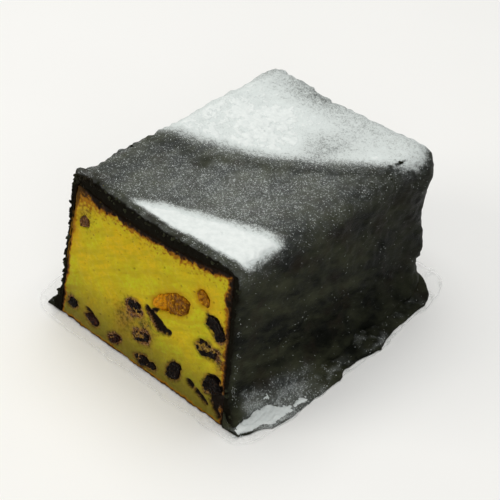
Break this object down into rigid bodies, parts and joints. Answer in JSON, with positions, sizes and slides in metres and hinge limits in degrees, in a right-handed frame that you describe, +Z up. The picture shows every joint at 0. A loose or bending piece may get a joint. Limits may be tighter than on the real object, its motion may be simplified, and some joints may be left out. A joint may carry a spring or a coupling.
{
  "type": "glazed fruit cheesecake loaf",
  "caption": "Loaf-shaped baked curd cheesecake with dried fruit, coated in chocolate glaze and dusted with icing sugar, cut across, on a clear film liner.",
  "frame": {"origin": "middle of the film liner's flat underside, below the middle of the loaf's length", "axes": "+Z up, out of the glazed top; +Y along the loaf, from the cut end to the far end; +X across the loaf, to the right of someone who faces the cut"},
  "size_m": [0.1411, 0.1705, 0.0843],
  "materials": {
    "baked_curd": "matte, finely grained cut curd, browned at its rim",
    "chocolate": "semi-gloss set chocolate glaze",
    "sultana": "moist wrinkled dried fruit",
    "raisin": "moist wrinkled dried fruit",
    "cranberry": "moist wrinkled dried fruit",
    "clear_film": "clear glossy crinkled film",
    "icing_sugar": "dry matte powder"
  },
  "bodies": {
    "root": {"curd": "baked_curd", "chocolate_glaze": "chocolate", "film_liner": "clear_film", "sultana_large": "sultana", "sultana_upper_right": "sultana", "sultana_left_edge": "sultana", "raisin_right": "raisin", "raisin_halved": "raisin", "raisin_middle": "raisin", "raisin_low_middle": "raisin", "raisin_upright": "raisin", "raisin_low_right": "raisin", "raisin_base": "raisin", "raisin_left_foot": "raisin", "cranberry_low_left": "cranberry", "cranberry_base_left": "cranberry"}
  },
  "joints": []
}
